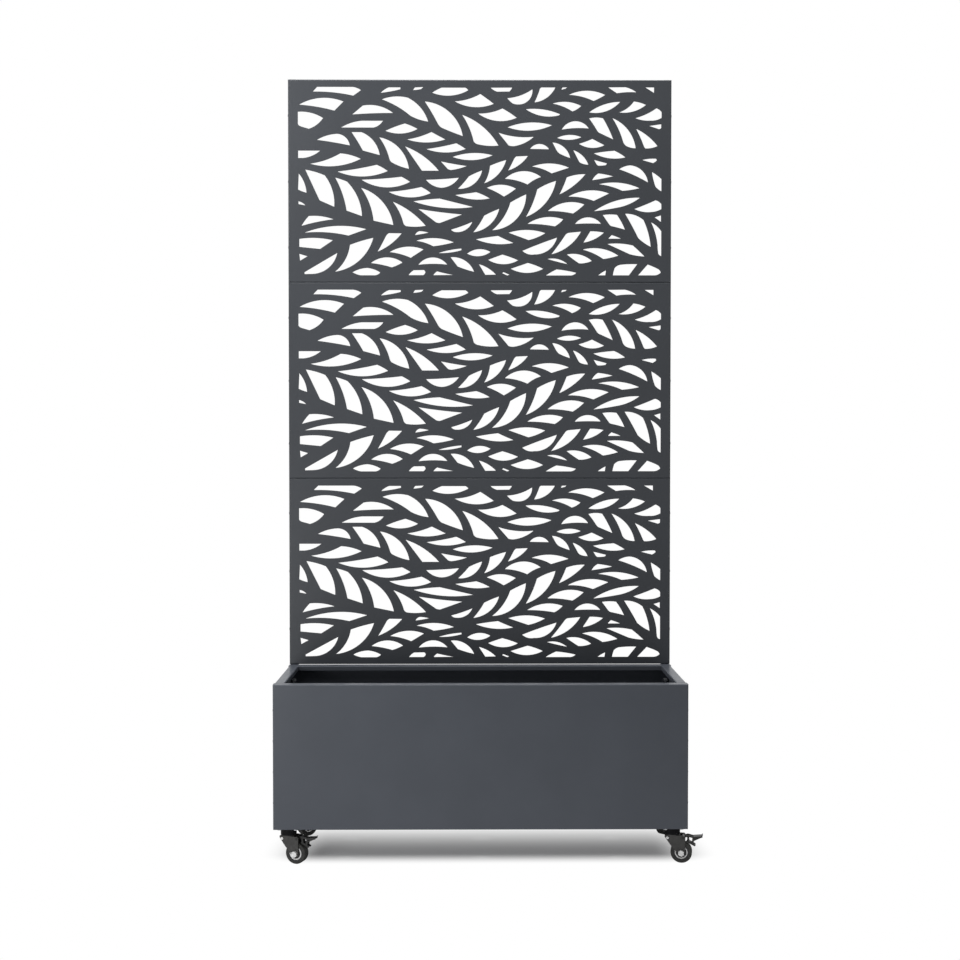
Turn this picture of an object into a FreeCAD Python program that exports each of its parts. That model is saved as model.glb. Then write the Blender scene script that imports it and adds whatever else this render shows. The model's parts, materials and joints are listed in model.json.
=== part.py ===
"""Leaf-cut metal privacy screen on a planter box with four braked swivel casters.

Millimetres, +Z up. The screen faces -Y. The floor is at Z = 0 and the origin is the
middle of the whole footprint on the floor.
"""
import FreeCAD, Part

import math
import os

Vector = FreeCAD.Vector

# Sheet metal
sheet = 1.5
bend_inner = 1.0
bend_outer = bend_inner + sheet
overrun = 5.0
thread_clearance = 0.05
hole_clearance = 0.3

# Planter box
box_width = 980.0
box_depth = 300.0
box_height = 344.0
ride_height = 89.5
rim_width = 25.0
rim_return = 12.0
corner_flange = 25.0
floor_flange = 25.0
end_flange = 64.0
pan_edge = 18.0
flange_gap = 0.3
drain_radius = 6.0
drain_inset_x = 170.0
drain_inset_y = 75.0

# Leaf screen
lower_panel_height = 479.0
middle_panel_height = 502.0
upper_panel_height = 516.0
panel_depth = 21.5
panel_seat_gap = 0.5
field_margin_side = 24.5
field_margin_end = 17.0

# Uprights
tube_size = 20.0
tube_wall = 1.5
tube_corner = 2.0
upright_foot = 25.0
cap_lip = 2.5
cap_plug = 14.0
cap_clearance = 0.1

# Screws and bolts: shank radius, head across flats, head height
m6_radius = 3.0
m6_flats = 10.0
m6_head = 4.0
m6_nut = 5.0
m5_radius = 2.5
m5_flats = 8.0
m5_nut = 4.0
pan_head_radius = 4.5
pan_head = 1.6
bolt_tail = 2.0
seam_bolt_end = 108.2
seam_bolt_count = 4
side_screw_end = 90.0
side_screw_count = 3
side_screw_length = 9.0
corner_screw_end = 62.0
corner_screw_count = 4
foot_bolt_end = 40.0
foot_bolt_count = 3
floor_screw_end = 49.2
floor_screw_count = 4

# Casters
caster_inset_x = 31.0
caster_inset_y = 45.0
plate_size = 54.0
plate_thickness = 3.0
plate_corner = 6.0
plate_hole_spacing = 38.0
head_radius = 19.0
head_height = 18.0
head_gap = 0.3
crown_cup_radius = 17.0
crown_thickness = 2.5
kingpin_radius = 5.0
kingpin_head_radius = 8.0
kingpin_head = 4.0
swivel_clearance = 0.05
trail = 22.0
wheel_diameter = 50.8
wheel_width = 22.0
tread_radius = 3.0
tyre_thickness = 6.5
tyre_fit = 0.05
core_dish = 3.0
core_rim = 2.5
hub_radius = 9.0
axle_radius = 4.0
axle_flats = 13.0
axle_head = 5.0
axle_clearance = 0.05
fork_plate = 2.5
fork_side_gap = 1.5
hub_side_gap = 0.3
fork_boss_radius = 9.5
fork_front_reach = 42.0
fork_rear_reach = 9.0
fork_crown_rise = 41.0
fork_shoulder_x = 24.5
fork_shoulder_z = 17.0
fork_corner = 3.0
rivet_x = 32.5
rivet_z = 35.0
rivet_radius = 2.2
rivet_head_radius = 3.2
rivet_head = 1.2

# Brake pedal, placed from the axle
pin_x = 4.5
pin_z = 36.0
pin_radius = 2.0
pin_clearance = 0.05
pin_head_radius = 3.0
pin_head = 0.8
lever_plate = 2.0
lever_half_width = 6.5
lever_side_gap = 0.4
lever_bar = 4.5
lever_eye_radius = 4.2
lever_bend_x = 15.5
lever_bend_z = 39.5
pedal_root_x = 29.0
pedal_root_z = 36.5
pedal_tip_x = 48.0
pedal_tip_z = 38.5
pedal_toe_x = 50.0
pedal_toe_z = 42.0
pedal_half_width = 9.0
pedal_plate = 1.6
pedal_rib = 3.0
tab_x = 31.5
tab_z = 17.5
shoe_x = 15.5
shoe_z = 23.3
shoe_half_length = 4.0
shoe_gap = 2.6
shoe_height = 5.0

# Places that follow from the sizes
wheel_radius = wheel_diameter / 2
half_width = box_width / 2
half_depth = box_depth / 2
rim_z = ride_height + box_height
panel_z = rim_z + panel_seat_gap
panel_heights = (lower_panel_height, middle_panel_height, upper_panel_height)
top_z = panel_z + sum(panel_heights)
wall_inner_x = half_width - 2 * sheet
wall_inner_y = half_depth - sheet
panel_front_y = half_depth - sheet
panel_back_y = panel_front_y + panel_depth
upright_x = half_width - sheet - tube_size / 2
upright_y = half_depth + tube_size / 2
upright_foot_z = ride_height + upright_foot
crown_z = wheel_radius + fork_crown_rise
plate_z = ride_height - plate_thickness
fork_inner_y = wheel_width / 2 + fork_side_gap
fork_outer_y = fork_inner_y + fork_plate
swivel_x = half_width - caster_inset_x
swivel_y = half_depth - caster_inset_y

# Each caster: name, side in X, side in Y, and the way it trails in degrees about Z
casters = (
    ("front_left", -1, -1, -18.0),
    ("front_right", 1, -1, -11.0),
    ("rear_left", -1, 1, 40.0),
    ("rear_right", 1, 1, 50.0),
)

# The origin is moved to the middle of the footprint, which the pedals and the bolt heads widen
reach_left = half_width + pan_head
reach_right = swivel_x + trail + pedal_toe_x + pedal_plate / 2
reach_front = half_depth
reach_back = half_depth + tube_size + m6_head
footprint_shift = Vector((reach_left - reach_right) / 2, (reach_front - reach_back) / 2, 0)

# Leaf openings in hundredths of the leaf field, across and down. Each corner has the bow of the
# side that follows it, as a share of that side: more than 0 swells the opening, less draws it in.
# Corners go clockwise.
leaf_shares = (
    ((4.2, 2.9, 0), (5.4, .4, 0), (15.2, .4, .06), (17.4, 2.1, 0), (15.3, 5, -.03)),
    ((.4, 9.8, .116), (12.6, 8.1, 0), (10.1, 12.9, -.025)),
    ((.1, 13.5, .08), (7, 16.8, .084), (3.1, 22.5, 0), (1, 21.3, .1), (.1, 20, 0)),
    ((15, 14.9, 0), (17.9, 10.2, .108), (26.2, 14.1, -.01)),
    ((11.9, 21.8, .057), (17.5, 18.2, 0), (23.4, 18.2, .1), (20.9, 21.8, 0)),
    ((5.3, 28.3, .06), (10.8, 25.1, .18), (14.3, 31.2, -.01)),
    ((14.8, 24.2, 0), (17.5, 24.2, .136), (22.5, 36.3, 0), (17.9, 33.9, -.015)),
    ((.15, 34, 0), (6.2, 34, .076), (1.5, 37.9, 0), (.15, 37.9, 0)),
    ((3.4, 40.9, -.05), (11.7, 35.4, .05), (17.3, 38.3, .093)),
    ((10.9, 45, -.015), (21.7, 41.4, .03), (24.7, 44.7, .103)),
    ((2.1, 44, .03), (7.4, 47, .093), (10, 63.6, 0), (6, 60.2, 0)),
    ((.3, 46.1, .08), (2.4, 56.2, .03), (.1, 54.5, 0)),
    ((10.3, 48.2, .02), (13.5, 50.3, .095), (17.6, 68.5, 0), (13.4, 65.6, -.045)),
    ((17.5, 49.3, -.011), (28.5, 47.7, .02), (30.8, 50.4, .135)),
    ((17.4, 53.6, .144), (26.2, 73.2, 0), (20.8, 70.9, -.065)),
    ((.2, 60.7, .08), (2.1, 62.9, 0), (.2, 62.2, 0)),
    ((1, 73.7, .03), (3, 68.5, .055), (9.8, 70.2, -.022)),
    ((1.8, 77.3, .079), (18.8, 75.4, 0), (13.9, 78.8, -.041)),
    ((.4, 80.6, .049), (9.6, 81.3, 0), (6.1, 85.9, 0), (.4, 84.8, 0)),
    ((.4, 88.5, 0), (2.6, 89.8, 0), (.6, 92.1, 0)),
    ((1.8, 98.2, 0), (10.8, 88, .175), (4, 99.1, 0), (1.8, 99.2, 0)),
    ((10.2, 97.9, -.1), (14.3, 83.7, .02), (20.7, 80, .15)),
    ((15, 98.2, .06), (19, 95.9, .06), (22.6, 98.3, .1), (21.2, 99.8, 0), (17.2, 99.8, .05)),
    ((20.05, 93.3, .17), (28.7, 93, .03), (25.8, 95.6, -.025)),
    ((22.8, 3.5, .06), (25, .6, 0), (28.2, .6, 0), (28.2, 1.6, .02)),
    ((31.7, 2.1, .05), (32.2, .6, 0), (34.5, .4, 0), (33.9, 1.5, .02)),
    ((23.1, 6.9, .077), (30.2, 6, .105), (35.8, 18.6, .047), (31, 15.6, -.045)),
    ((34.9, 8, .171), (45.3, 26.2, .01), (39.6, 21.9, .08), (38.4, 19.4, -.015)),
    ((36.9, 3.4, .03), (39.5, .7, 0), (46, .7, .08), (46.8, 2.1, .113)),
    ((24.05, 23.5, .02), (29.4, 19.6, .03), (32.9, 22.5, .112)),
    ((30, 28, -.038), (36.7, 24.1, 0), (40.5, 28, .08)),
    ((22.4, 26.9, .165), (30.5, 43.5, .04), (25.7, 40, .06), (25.2, 38.4, -.05)),
    ((29.5, 31.7, .067), (38.7, 44.5, 0), (34.1, 44.5, 0)),
    ((35.3, 33.1, -.015), (43.5, 30, .02), (46.1, 33, .088)),
    ((39.3, 39.6, -.01), (46.4, 42, .03), (42.2, 44.1, .06), (41.2, 43.6, 0)),
    ((35.2, 49.3, -.01), (44.2, 48.2, .12), (39.5, 53.5, .107)),
    ((24.95, 55.7, -.02), (33.9, 53.1, .03), (36.5, 56.3, .116)),
    ((26.1, 60.9, .06), (35.1, 73.6, .04), (29.8, 73.8, .1), (29, 72.3, -.055)),
    ((31.7, 60.7, .015), (38.9, 59.2, 0), (48.1, 63.6, .06)),
    ((33.1, 64.7, -.01), (45.1, 67.6, 0), (39, 72.1, .05), (37.9, 71.7, 0)),
    ((32.2, 78.5, .12), (33.4, 76.4, .03), (35.9, 77.2, .01)),
    ((32.5, 81.5, .09), (42.8, 82.3, .02), (37.2, 84.4, -.045)),
    ((21.9, 87.3, -.01), (24.1, 79.4, .08), (25, 77.5, 0), (28.5, 77.6, .063)),
    ((25.2, 87.5, .118), (34.5, 86.1, 0), (31, 90.5, -.04)),
    ((38.6, 88, .03), (44.9, 85.6, 0), (44.9, 86.5, .04)),
    ((33.1, 94.2, .25), (41, 94.1, -.03)),
    ((30.4, 99.7, .06), (31.8, 97.1, 0), (34.6, 97, .1), (35, 98.2, .1), (34.4, 99.7, 0)),
    ((37.2, 99.7, .05), (38.2, 97.7, -.01), (42.6, 99.6, 0)),
    ((52.95, .7, 0), (58.85, .6, .04), (58.1, 2.7, 0), (54.7, 2.8, .06)),
    ((43.1, 7.9, -.06), (50.1, 4, .01), (53.8, 9.2, .116)),
    ((49.5, 14.3, -.06), (56.2, 11.6, .02), (60.1, 16.5, .136)),
    ((57.5, 6.2, -.068), (64.4, 1.5, .226), (60.6, 9.5, .05), (59, 9, .03)),
    ((45.15, 15, .09), (55.1, 31.2, .046), (49.2, 30.4, .08), (48.3, 29, -.048)),
    ((57.6, 21.5, .084), (69.8, 20.4, .1)),
    ((55.1, 24.4, -.056), (64.8, 26.5, .075), (59.3, 31.5, .05), (57.9, 31.1, 0)),
    ((42.5, 37.2, .077), (53.5, 36.3, .1)),
    ((57.8, 44.3, -.01), (59.4, 38.2, .06), (60, 36.9, 0), (63.2, 36.6, .083)),
    ((51.2, 51.1, -.06), (52.8, 41.8, .02), (57.2, 38.8, .125)),
    ((56.9, 48.7, .186), (66.8, 47.7, -.05), (63.1, 51.7, -.05)),
    ((44, 54, -.02), (47, 47.4, .02), (50.6, 44.3, .19)),
    ((43.2, 57.3, -.005), (49, 55.8, .03), (52.7, 59.1, .075)),
    ((51.9, 53.5, .121), (59.9, 53.9, .02), (56.6, 58.1, -.03)),
    ((48.2, 77, -.03), (51.2, 68.2, .02), (55.3, 64.6, .155)),
    ((53.4, 75.9, -.075), (58.4, 61.2, .015), (62.7, 56.9, .2)),
    ((42.1, 75.6, -.02), (47.9, 71.5, .165), (43.5, 76.9, .12)),
    ((48.9, 80.7, .01), (55, 78.9, -.01), (59.2, 82.6, .075)),
    ((46.5, 88.3, .155), (52.9, 87.4, .145)),
    ((52.3, 91.6, .01), (56.2, 88.8, .02), (60.5, 91.8, .137)),
    ((41.95, 90.2, .17), (48.4, 97.9, .02), (43.9, 95.1, 0)),
    ((49.75, 93.9, .07), (54.4, 99.4, 0), (51.5, 99.5, 0)),
    ((56.2, 98.7, .1), (56.5, 98.1, 0), (58.1, 99.4, .05), (57.5, 99.8, 0)),
    ((65, 8.4, -.02), (66.5, 1.1, .06), (66.9, .5, 0), (70.7, .5, .13)),
    ((72.4, 1.7, .06), (72.7, .5, 0), (73.9, .4, 0), (73.5, 1.1, 0)),
    ((74.4, 4.4, .115), (84.4, 4.4, .02), (81.2, 7.6, -.053)),
    ((69.95, 9, .1), (77.8, 10.2, .06), (75.4, 13.1, -.05)),
    ((62.6, 12, .066), (72, 14.6, 0), (71.7, 15.2, .109)),
    ((72.5, 22.7, .29), (79.9, 22.1, -.035)),
    ((71.2, 27.1, .11), (77.9, 26.7, .095)),
    ((63.8, 32.9, .27), (69, 33.1, 0)),
    ((69.95, 29.5, .17), (74.8, 37.7, .02), (71.9, 35.4, .05), (71, 33.4, 0)),
    ((77.2, 30.2, -.02), (80.9, 27.6, 0), (84.2, 30.9, .132)),
    ((75.65, 33.5, .114), (79.8, 41.2, .06), (77.6, 40.2, .06), (77, 38.6, 0)),
    ((64.3, 42.2, .098), (74.5, 42.8, 0), (69.7, 45.8, -.054)),
    ((62.7, 68.8, -.035), (65.8, 54.2, .037), (70.9, 49.8, .13)),
    ((71.9, 56.9, -.02), (73.9, 47.9, .05), (79, 46.2, .055)),
    ((80.9, 49.4, .08), (82.6, 45.8, .02), (86.6, 47.3, .01)),
    ((74.3, 58.1, .113), (85.5, 56.4, 0), (81.3, 60.3, -.05)),
    ((68.7, 65.7, .14), (78.7, 62.2, .03), (75.6, 67, -.03)),
    ((63.1, 72.5, .121), (72.9, 70.1, .05), (70.6, 73.8, -.025)),
    ((76.2, 72.5, .25), (83.3, 72.4, -.015)),
    ((57.9, 77.2, .081), (68, 77.4, .04), (63.4, 81.1, 0)),
    ((61.7, 86.8, .01), (71.2, 79.8, .173), (65, 88.7, .12)),
    ((69.7, 88.6, -.01), (73.6, 78.2, .1), (74.6, 77.2, 0), (77.8, 76.6, .105)),
    ((78.5, 82.4, 0), (80.4, 76.4, .03), (84.1, 77.1, .075)),
    ((68.6, 91.1, .12), (74.1, 93.8, .01)),
    ((73.95, 88.7, .12), (80.8, 92.1, .06), (77.3, 93.4, .01)),
    ((58.5, 96.3, 0), (63.2, 93.2, .03), (67.4, 96.3, .126)),
    ((68.2, 99.8, .02), (71.1, 96.6, .02), (76.5, 98.4, .1), (75, 99.8, 0)),
    ((85.2, .4, 0), (90, .3, .05), (93, 3, -.03), (87.6, 3.5, 0)),
    ((95.4, .4, 0), (97.8, .4, 0), (97.8, 3.3, 0)),
    ((80, 13.6, .08), (88.5, 8, .134)),
    ((88.2, 13.6, -.085), (92.3, 7.8, .04), (95.6, 9.6, .105)),
    ((92.7, 16.6, -.045), (98.5, 11.4, .08), (99.9, 13.4, 0), (99.9, 16.4, .08), (96.8, 17.9, .06)),
    ((96.5, 20.7, 0), (99.8, 19.8, 0), (99.8, 21.8, .08), (99.2, 22.4, 0)),
    ((80, 16.8, .065), (83.8, 16.7, .025), (86.6, 27.8, 0), (82.7, 24.3, .05), (82.1, 22.9, -.015)),
    ((86.4, 16.6, .136), (92.8, 32.5, .06), (90.2, 31.3, .06), (89.4, 29.4, -.04)),
    ((92.9, 22.2, .06), (98.8, 31.3, .06), (95.5, 32.6, .05), (95.1, 31.6, -.02)),
    ((81.3, 35.2, .015), (87, 33.8, .03), (90, 37.3, .092)),
    ((81.4, 38.7, 0), (84.9, 40.5, 0), (84.6, 41.4, .03), (82.5, 41.7, .05), (82, 40.8, 0)),
    ((94.6, 38.7, .04), (98.4, 38, .1), (98.6, 38.9, .05), (97.6, 40.3, 0)),
    ((88.3, 43.6, .07), (91.3, 41.5, .18), (96.2, 50.5, -.025)),
    ((82.7, 51.5, .084), (93.9, 53.6, .02), (89.2, 55, -.043)),
    ((97.3, 45, .03), (99.9, 48.7, 0), (99.9, 55.2, .05), (98.3, 52.8, .03)),
    ((81.4, 65.8, .08), (94, 58.6, .055), (88.5, 63.6, .01)),
    ((92.5, 64.6, -.01), (98.3, 60, .1), (99.9, 62, 0), (99.9, 64.6, .06), (97, 66.2, .07)),
    ((83.8, 67.8, .04), (87.7, 67.7, .03), (89.9, 75.5, -.01), (86.1, 73.6, .05), (85.6, 72.8, 0)),
    ((89.95, 67.1, .095), (95, 70.4, .045), (97, 84.6, .04), (93.6, 80, -.01)),
    ((98.1, 69, 0), (99.8, 68, 0), (99.8, 71.4, 0)),
    ((97.1, 71.6, .06), (99.9, 76.3, 0), (99.9, 89.5, .1), (99.1, 88.2, .02), (98.9, 83.5, -.045)),
    ((85.4, 80.3, .03), (86.3, 78.4, .02), (88.8, 80.3, 0)),
    ((85.1, 83.1, .045), (92.1, 83.9, .01), (95.3, 89.7, .03), (91.2, 88.5, 0)),
    ((78.3, 86.1, .11), (88.1, 89.3, .02), (84, 91.1, -.045)),
    ((82.6, 99.7, .03), (84.7, 97.1, 0), (84.5, 99.7, 0)),
    ((86.6, 99.7, .02), (87.1, 95.9, .1), (88.8, 94.1, .02), (93.3, 93.8, 0), (91, 99.7, 0)),
    ((93.6, 99.7, 0), (96.2, 94, .02), (99.2, 96.5, .08), (99.8, 98.2, .1), (98, 99.7, 0)),
)
field_shares = 100


# Helpers

def place(plane, a, b, offset):
    """A point of a drawing plane, with its offset along the plane's own axis."""
    if plane == "xy":
        return Vector(a, b, offset)
    if plane == "xz":
        return Vector(a, offset, b)
    return Vector(offset, a, b)


def outline(corners, plane, offset):
    """A closed wire through corners (a, b, radius); radius 0 leaves a corner sharp."""
    spots = [Vector(a, b, 0) for a, b, radius in corners]
    cuts = []
    for index, corner in enumerate(spots):
        radius = corners[index][2]
        before = (spots[index - 1] - corner).normalize()
        after = (spots[(index + 1) % len(spots)] - corner).normalize()
        if radius == 0:
            cuts.append((corner, None, corner))
            continue
        half = before.getAngle(after) / 2
        middle = (before + after).normalize()
        centre = corner + middle * (radius / math.sin(half))
        run = radius / math.tan(half)
        cuts.append((corner + before * run, centre - middle * radius, corner + after * run))
    lift = [[place(plane, spot.x, spot.y, offset) if spot else None for spot in cut] for cut in cuts]
    edges = []
    for index, (start, bend, end) in enumerate(lift):
        if bend:
            edges.append(Part.Arc(start, bend, end).toShape())
        edges.append(Part.makeLine(end, lift[(index + 1) % len(lift)][0]))
    return Part.Wire(edges)


def prism(corners, plane, start, end):
    """A straight solid on a rounded outline, from start to end along the plane's axis."""
    face = Part.Face(outline(corners, plane, start))
    return face.extrude(place(plane, 0, 0, end - start))


def block(x0, x1, y0, y1, z0, z1):
    """A rectangular solid between two corners."""
    return Part.makeBox(x1 - x0, y1 - y0, z1 - z0, Vector(x0, y0, z0))


def rod(radius, start, end):
    """A round solid from start to end."""
    return Part.makeCylinder(radius, (end - start).Length, start, end - start)


def hexagon(flats, start, end):
    """A six-sided solid from start to end."""
    corner_radius = flats / math.sqrt(3)
    axis = (end - start).normalize()
    across = Vector(0, 0, 1) if abs(axis.z) < 1 / 2 else Vector(1, 0, 0)
    beside = axis.cross(across)
    turns = [math.radians(60 * step) for step in range(7)]
    ring = [start + across * (corner_radius * math.cos(turn)) + beside * (corner_radius * math.sin(turn))
            for turn in turns]
    return Part.Face(Part.makePolygon(ring)).extrude(end - start)


def link(first, second, width, y0, y1):
    """A bar with round ends between two points of the XZ plane."""
    start = Vector(first[0], y0, first[1])
    end = Vector(second[0], y0, second[1])
    along = (end - start).normalize()
    side = Vector(-along.z, 0, along.x) * (width / 2)
    tip = along * (width / 2)
    edges = [
        Part.makeLine(start + side, end + side),
        Part.Arc(end + side, end + tip, end - side).toShape(),
        Part.makeLine(end - side, start - side),
        Part.Arc(start - side, start - tip, start + side).toShape(),
    ]
    return Part.Face(Part.Wire(edges)).extrude(Vector(0, y1 - y0, 0))


def fused(shapes):
    """One solid from overlapping shapes."""
    return shapes[0].multiFuse(shapes[1:]).removeSplitter()


def spread(count, first, last):
    """Evenly spaced places from first to last."""
    return [first + (last - first) * step / (count - 1) for step in range(count)]


def row(count, spacing):
    """Evenly spaced places about the middle."""
    return [(step - (count - 1) / 2) * spacing for step in range(count)]


def mirrored_x(shape):
    return shape.mirror(Vector(0, 0, 0), Vector(1, 0, 0))


def mirrored_y(shape):
    return shape.mirror(Vector(0, 0, 0), Vector(0, 1, 0))


def hex_bolt(radius, flats, head, seat, tip):
    """A bolt whose head stands behind its seat and whose shank runs to its tip."""
    along = (tip - seat).normalize()
    return hexagon(flats, seat - along * head, seat).fuse(rod(radius, seat, tip)).removeSplitter()


def pan_screw(seat, tip):
    """A low-headed screw."""
    along = (tip - seat).normalize()
    head = rod(pan_head_radius, seat - along * pan_head, seat)
    return head.fuse(rod(m5_radius, seat, tip)).removeSplitter()


def hex_nut(radius, flats, seat, far):
    """A nut with its bore, from its seat to its far face."""
    return hexagon(flats, seat, far).cut(rod(radius + thread_clearance, seat, far))


def save(node, shapes):
    """Move the pieces of a node to the footprint's origin and write them."""
    group = Part.makeCompound(shapes) if len(shapes) > 1 else shapes[0].copy()
    group.translate(footprint_shift)
    group.exportStep("parts/" + node + ".step")


# Where the fasteners go

m5_hole = m5_radius + hole_clearance
m6_hole = m6_radius + hole_clearance
seam_flange_x = half_width - sheet - tube_size - flange_gap
seam_bolt_x = spread(seam_bolt_count, seam_bolt_end - seam_flange_x, seam_flange_x - seam_bolt_end)
seam_bolt_y = (panel_front_y + sheet + panel_back_y) / 2
panel_bottoms = [panel_z + sum(panel_heights[:level]) for level in range(len(panel_heights))]
panels = list(zip(panel_bottoms, panel_heights))
seams = panel_bottoms[1:]
side_screw_z = [z for bottom, height in panels
                for z in spread(side_screw_count, bottom + side_screw_end, bottom + height - side_screw_end)]
corner_screw_z = spread(corner_screw_count, ride_height + corner_screw_end, rim_z - corner_screw_end)
corner_screw_y = half_depth - corner_flange / 2
foot_bolt_z = spread(foot_bolt_count, upright_foot_z + foot_bolt_end, rim_z - foot_bolt_end)
floor_flange_x = half_width - sheet - end_flange - flange_gap
floor_screw_x = spread(floor_screw_count, floor_screw_end - floor_flange_x, floor_flange_x - floor_screw_end)
floor_screw_y = half_depth - floor_flange / 2
floor_top = ride_height + 2 * sheet
plate_holes = [(x, y) for x in row(2, plate_hole_spacing) for y in row(2, plate_hole_spacing)]


# Leaf screen

def leaf_wire(corners, bottom, panel_height):
    """The outline of one leaf opening on the front of a panel."""
    left = -half_width + field_margin_side
    width = box_width - 2 * field_margin_side
    top = bottom + panel_height - field_margin_end
    height = panel_height - 2 * field_margin_end
    front = panel_front_y - overrun
    spots = [Vector(left + width * u / field_shares, front, top - height * v / field_shares)
             for u, v, bow in corners]
    edges = []
    for index, start in enumerate(spots):
        end = spots[(index + 1) % len(spots)]
        bow = corners[index][2]
        if bow == 0:
            edges.append(Part.makeLine(start, end))
            continue
        run = end - start
        middle = (start + end) / 2 + Vector(-run.z, 0, run.x) * bow
        edges.append(Part.Arc(start, middle, end).toShape())
    return Part.Wire(edges)


def leaf_panel(bottom, panel_height):
    """A folded tray: the leaf-cut face, two side flanges, and seam flanges between the uprights."""
    top = bottom + panel_height
    folded = prism([
        (-half_width, panel_back_y, 0), (-half_width, panel_front_y, bend_outer),
        (half_width, panel_front_y, bend_outer), (half_width, panel_back_y, 0),
        (half_width - sheet, panel_back_y, 0), (half_width - sheet, panel_front_y + sheet, bend_inner),
        (-half_width + sheet, panel_front_y + sheet, bend_inner), (-half_width + sheet, panel_back_y, 0),
    ], "xy", bottom, top)
    rounded = prism([
        (panel_front_y, bottom, bend_outer), (panel_back_y, bottom, 0),
        (panel_back_y, top, 0), (panel_front_y, top, bend_outer),
    ], "yz", -half_width, half_width)
    seam_flanges = [prism([
        (panel_front_y, edge + inward * panel_depth, 0), (panel_front_y, edge, bend_outer),
        (panel_back_y, edge, 0), (panel_back_y, edge + inward * sheet, 0),
        (panel_front_y + sheet, edge + inward * sheet, bend_inner),
        (panel_front_y + sheet, edge + inward * panel_depth, 0),
    ], "yz", -seam_flange_x, seam_flange_x) for edge, inward in ((bottom, 1), (top, -1))]
    tray = fused([folded.common(rounded)] + seam_flanges)
    depth = Vector(0, sheet + 2 * overrun, 0)
    openings = [Part.Face(leaf_wire(corners, bottom, panel_height)).extrude(depth) for corners in leaf_shares]
    holes = [rod(m6_hole, Vector(x, seam_bolt_y, edge - overrun), Vector(x, seam_bolt_y, edge + overrun))
             for x in seam_bolt_x for edge in (bottom, top)]
    for z in spread(side_screw_count, bottom + side_screw_end, top - side_screw_end):
        for side in (-1, 1):
            start = Vector(side * (half_width - overrun), upright_y, z)
            holes.append(rod(m5_hole, start, start + Vector(side * 2 * overrun, 0, 0)))
    return tray.cut(Part.makeCompound(openings)).cut(Part.makeCompound(holes))


def upright(side):
    """A square tube behind one edge of the screen, bolted to the planter's back."""
    def square(size, corner):
        reach = size / 2
        middle = side * upright_x
        return [(middle - reach, upright_y - reach, corner), (middle + reach, upright_y - reach, corner),
                (middle + reach, upright_y + reach, corner), (middle - reach, upright_y + reach, corner)]
    foot = upright_foot_z + cap_lip
    head = top_z - cap_lip
    tube = prism(square(tube_size, tube_corner), "xy", foot, head)
    bore = square(tube_size - 2 * tube_wall, tube_corner - tube_wall)
    tube = tube.cut(prism(bore, "xy", foot - overrun, head + overrun))
    holes = []
    for z in side_screw_z:
        start = Vector(side * upright_x, upright_y, z)
        holes.append(rod(m5_radius + thread_clearance, start, start + Vector(side * tube_size, 0, 0)))
    for z in foot_bolt_z:
        start = Vector(side * upright_x, half_depth - overrun, z)
        holes.append(rod(m6_hole, start, start + Vector(0, tube_size + 2 * overrun, 0)))
    caps = []
    for end, inward in ((upright_foot_z, 1), (top_z, -1)):
        lip = sorted((end, end + inward * cap_lip))
        plug = sorted((end + inward * cap_lip, end + inward * (cap_lip + cap_plug)))
        plug_size = tube_size - 2 * tube_wall - 2 * cap_clearance
        caps.append(prism(square(tube_size, tube_corner), "xy", lip[0], lip[1]).fuse(
            prism(square(plug_size, tube_corner - tube_wall), "xy", plug[0], plug[1])).removeSplitter())
    return tube.cut(Part.makeCompound(holes)), caps


def screen_fasteners():
    """Seam bolts and nuts, side screws, and the bolts that hold the uprights to the planter."""
    seam_bolts = []
    seam_nuts = []
    for seam in seams:
        for x in seam_bolt_x:
            seat = Vector(x, seam_bolt_y, seam + sheet)
            nut_seat = Vector(x, seam_bolt_y, seam - sheet)
            far = nut_seat - Vector(0, 0, m6_nut)
            seam_bolts.append(hex_bolt(m6_radius, m6_flats, m6_head, seat, far - Vector(0, 0, bolt_tail)))
            seam_nuts.append(hex_nut(m6_radius, m6_flats, nut_seat, far))
    side_screws = []
    for side in (-1, 1):
        for z in side_screw_z:
            seat = Vector(side * half_width, upright_y, z)
            side_screws.append(pan_screw(seat, seat - Vector(side * side_screw_length, 0, 0)))
    foot_bolts = []
    foot_nuts = []
    for side in (-1, 1):
        for z in foot_bolt_z:
            seat = Vector(side * upright_x, half_depth + tube_size, z)
            nut_seat = Vector(side * upright_x, half_depth - sheet, z)
            far = nut_seat - Vector(0, m6_nut, 0)
            foot_bolts.append(hex_bolt(m6_radius, m6_flats, m6_head, seat, far - Vector(0, bolt_tail, 0)))
            foot_nuts.append(hex_nut(m6_radius, m6_flats, nut_seat, far))
    save("seam_bolts", seam_bolts)
    save("seam_nuts", seam_nuts)
    save("side_screws", side_screws)
    save("foot_bolts", foot_bolts)
    save("foot_nuts", foot_nuts)


# Planter box

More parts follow.
